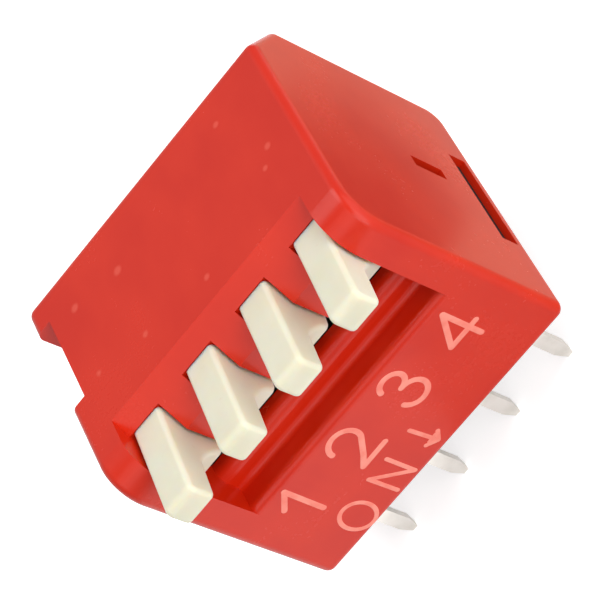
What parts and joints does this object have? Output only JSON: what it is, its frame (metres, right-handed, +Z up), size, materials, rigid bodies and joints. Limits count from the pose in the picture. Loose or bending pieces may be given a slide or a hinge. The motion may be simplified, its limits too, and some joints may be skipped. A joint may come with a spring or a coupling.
{
  "type": "piano-key dip switch",
  "caption": "Through-hole switch block with a row of piano keys on its front face, each rocking down to close one way.",
  "frame": {"origin": "centre of the two pin rows, in the plane where the housing sits on the board", "axes": "+X along the row of ways from way 1 to way 4, -Y the way the keys point, +Z up, away from the board"},
  "size_m": [0.0114, 0.012, 0.0118],
  "materials": {
    "red_housing": "moulded, glossy red",
    "black_base": "moulded, black",
    "cream_key": "moulded, cream white",
    "gold_contact": "gold-plated copper alloy strip",
    "spring_strip": "bronze spring strip",
    "tinned_pin": "tin-plated brass, stamped"
  },
  "bodies": {
    "casing": {"housing": "red_housing", "base": "black_base", "detent_spring_1": "spring_strip", "detent_spring_2": "spring_strip", "detent_spring_3": "spring_strip", "detent_spring_4": "spring_strip", "front_terminal_1": "tinned_pin", "front_terminal_2": "tinned_pin", "front_terminal_3": "tinned_pin", "front_terminal_4": "tinned_pin", "rear_terminal_1": "tinned_pin", "rear_terminal_2": "tinned_pin", "rear_terminal_3": "tinned_pin", "rear_terminal_4": "tinned_pin"},
    "way_1": {"key_1": "cream_key", "moving_contact_1": "gold_contact"},
    "way_2": {"key_2": "cream_key", "moving_contact_2": "gold_contact"},
    "way_3": {"key_3": "cream_key", "moving_contact_3": "gold_contact"},
    "way_4": {"key_4": "cream_key", "moving_contact_4": "gold_contact"}
  },
  "joints": [
    {"name": "key_1_rock", "type": "hinge", "parent": "casing", "child": "way_1", "pos_m": [-0.00381, 0, 0.005], "axis": [1, 0, 0], "range_deg": [0, 13]},
    {"name": "key_2_rock", "type": "hinge", "parent": "casing", "child": "way_2", "pos_m": [-0.00127, 0, 0.005], "axis": [1, 0, 0], "range_deg": [0, 13]},
    {"name": "key_3_rock", "type": "hinge", "parent": "casing", "child": "way_3", "pos_m": [0.00127, 0, 0.005], "axis": [1, 0, 0], "range_deg": [0, 13]},
    {"name": "key_4_rock", "type": "hinge", "parent": "casing", "child": "way_4", "pos_m": [0.00381, 0, 0.005], "axis": [1, 0, 0], "range_deg": [0, 13]}
  ]
}
